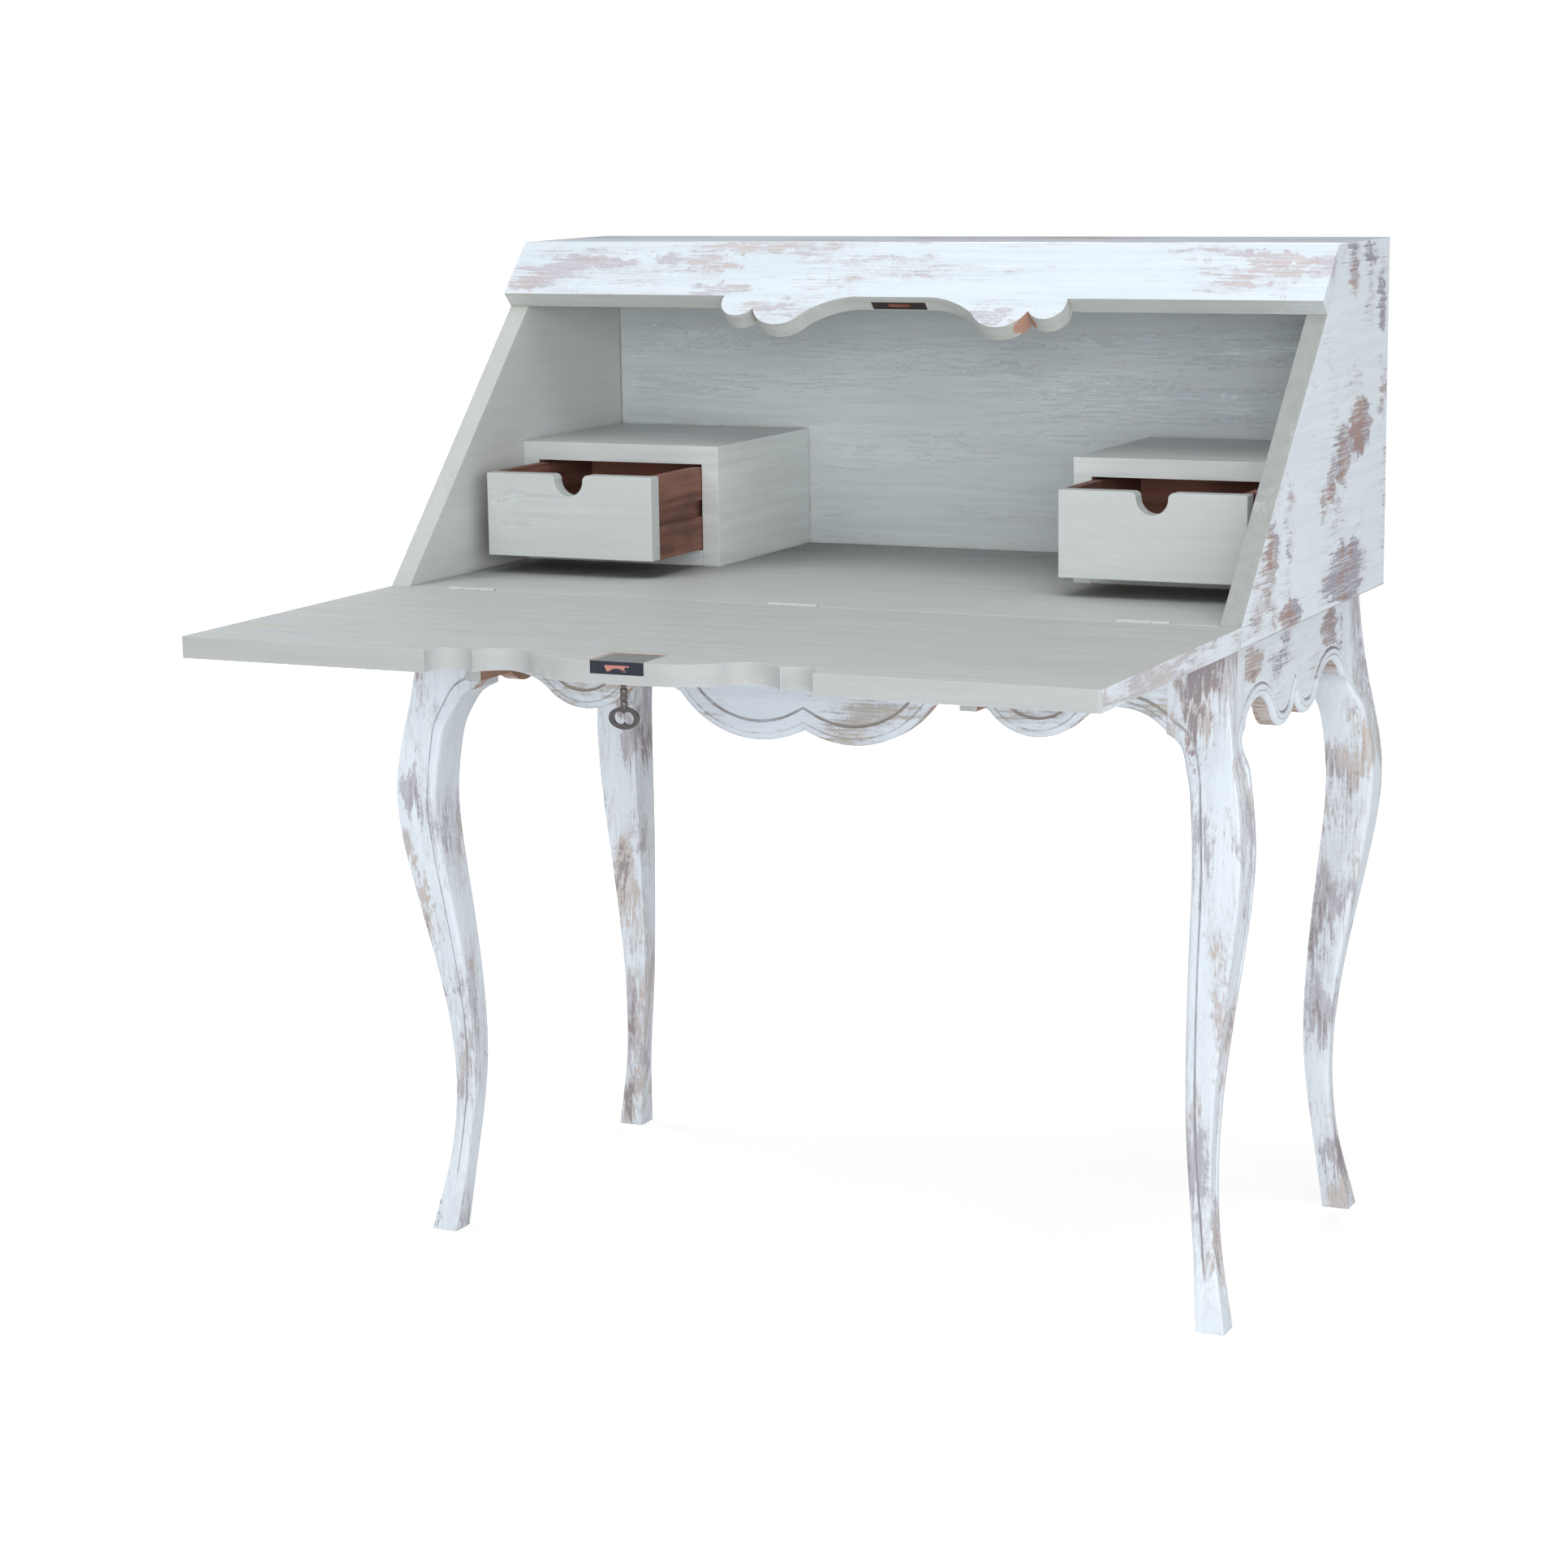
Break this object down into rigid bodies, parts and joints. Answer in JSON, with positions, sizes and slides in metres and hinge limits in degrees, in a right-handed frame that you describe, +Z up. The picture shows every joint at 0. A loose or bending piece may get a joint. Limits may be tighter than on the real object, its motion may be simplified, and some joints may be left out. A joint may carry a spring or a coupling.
{
  "type": "bonheur du jour",
  "caption": "Small slant-front writing desk on cabriole legs with a drop lid on pull-out lopers, inner drawers and scalloped aprons.",
  "frame": {"origin": "on the floor, under the middle of the desk with its lid laid open", "axes": "+X to the desk's right as the sitter sees it, +Y to the back, +Z up; the sitter is at -Y"},
  "size_m": [0.9476, 0.9038, 1.065],
  "materials": {
    "white_paint": "bluish white distressed paint over wood",
    "grey_paint": "soft grey brushed paint over wood",
    "dark_wood": "bare dark red-brown wood",
    "painted_steel": "steel painted over in white",
    "steel": "dull worn steel",
    "brass": "tarnished brass",
    "iron": "dark iron"
  },
  "bodies": {
    "root": {"apron_back": "white_paint", "apron_front": "white_paint", "apron_left": "white_paint", "apron_right": "white_paint", "back_panel": "grey_paint", "box_left_bottom": "grey_paint", "box_left_inner_side": "grey_paint", "box_left_outer_side": "grey_paint", "box_left_top": "grey_paint", "box_right_bottom": "grey_paint", "box_right_inner_side": "grey_paint", "box_right_outer_side": "grey_paint", "box_right_top": "grey_paint", "desk_floor": "grey_paint", "fascia": "white_paint", "hinge_left_case_leaf": "painted_steel", "hinge_left_pin": "steel", "hinge_middle_case_leaf": "painted_steel", "hinge_middle_pin": "steel", "hinge_right_case_leaf": "painted_steel", "hinge_right_pin": "steel", "leg_back_left": "white_paint", "leg_back_right": "white_paint", "leg_front_left": "white_paint", "leg_front_right": "white_paint", "loper_guide_left": "dark_wood", "loper_guide_right": "dark_wood", "runner_left_inner": "dark_wood", "runner_left_outer": "dark_wood", "runner_right_inner": "dark_wood", "runner_right_outer": "dark_wood", "side_left": "white_paint", "side_right": "white_paint", "strike_plate": "iron", "top_board": "white_paint"},
    "lid": {"hinge_left_lid_leaf": "painted_steel", "hinge_middle_lid_leaf": "painted_steel", "hinge_right_lid_leaf": "painted_steel", "lid": "grey_paint", "lock_case": "steel"},
    "bolt": {"lock_bolt": "brass"},
    "key": {"key": "iron"},
    "left_drawer": {"drawer_left_back": "dark_wood", "drawer_left_bottom": "dark_wood", "drawer_left_front": "grey_paint", "drawer_left_inner_side": "dark_wood", "drawer_left_outer_side": "dark_wood"},
    "right_drawer": {"drawer_right_back": "dark_wood", "drawer_right_bottom": "dark_wood", "drawer_right_front": "grey_paint", "drawer_right_inner_side": "dark_wood", "drawer_right_outer_side": "dark_wood"},
    "left_loper": {"loper_left": "grey_paint"},
    "right_loper": {"loper_right": "grey_paint"}
  },
  "joints": [
    {"name": "lid_hinge", "type": "hinge", "parent": "root", "child": "lid", "pos_m": [0, -0.05976, 0.715], "axis": [-1, 0, 0], "range_deg": [0, 134.5]},
    {"name": "key_turn", "type": "hinge", "parent": "lid", "child": "key", "pos_m": [0.0035, -0.43883, 0.69], "axis": [0, 0, 1], "range_deg": [0, 90]},
    {"name": "bolt_slide", "type": "slide", "parent": "lid", "child": "bolt", "axis": [0, -1, 0], "range_m": [0, 0.006]},
    {"name": "left_drawer_slide", "type": "slide", "parent": "root", "child": "left_drawer", "axis": [0, -1, 0], "range_m": [-0.121, 0.025]},
    {"name": "right_drawer_slide", "type": "slide", "parent": "root", "child": "right_drawer", "axis": [0, -1, 0], "range_m": [-0.103, 0.043]},
    {"name": "left_loper_slide", "type": "slide", "parent": "root", "child": "left_loper", "axis": [0, -1, 0], "range_m": [-0.208, 0]},
    {"name": "right_loper_slide", "type": "slide", "parent": "root", "child": "right_loper", "axis": [0, -1, 0], "range_m": [-0.208, 0]}
  ],
  "couplings": [
    {"joint": "bolt_slide", "follows": "key_turn", "m_per_rad": 0.003819}
  ]
}
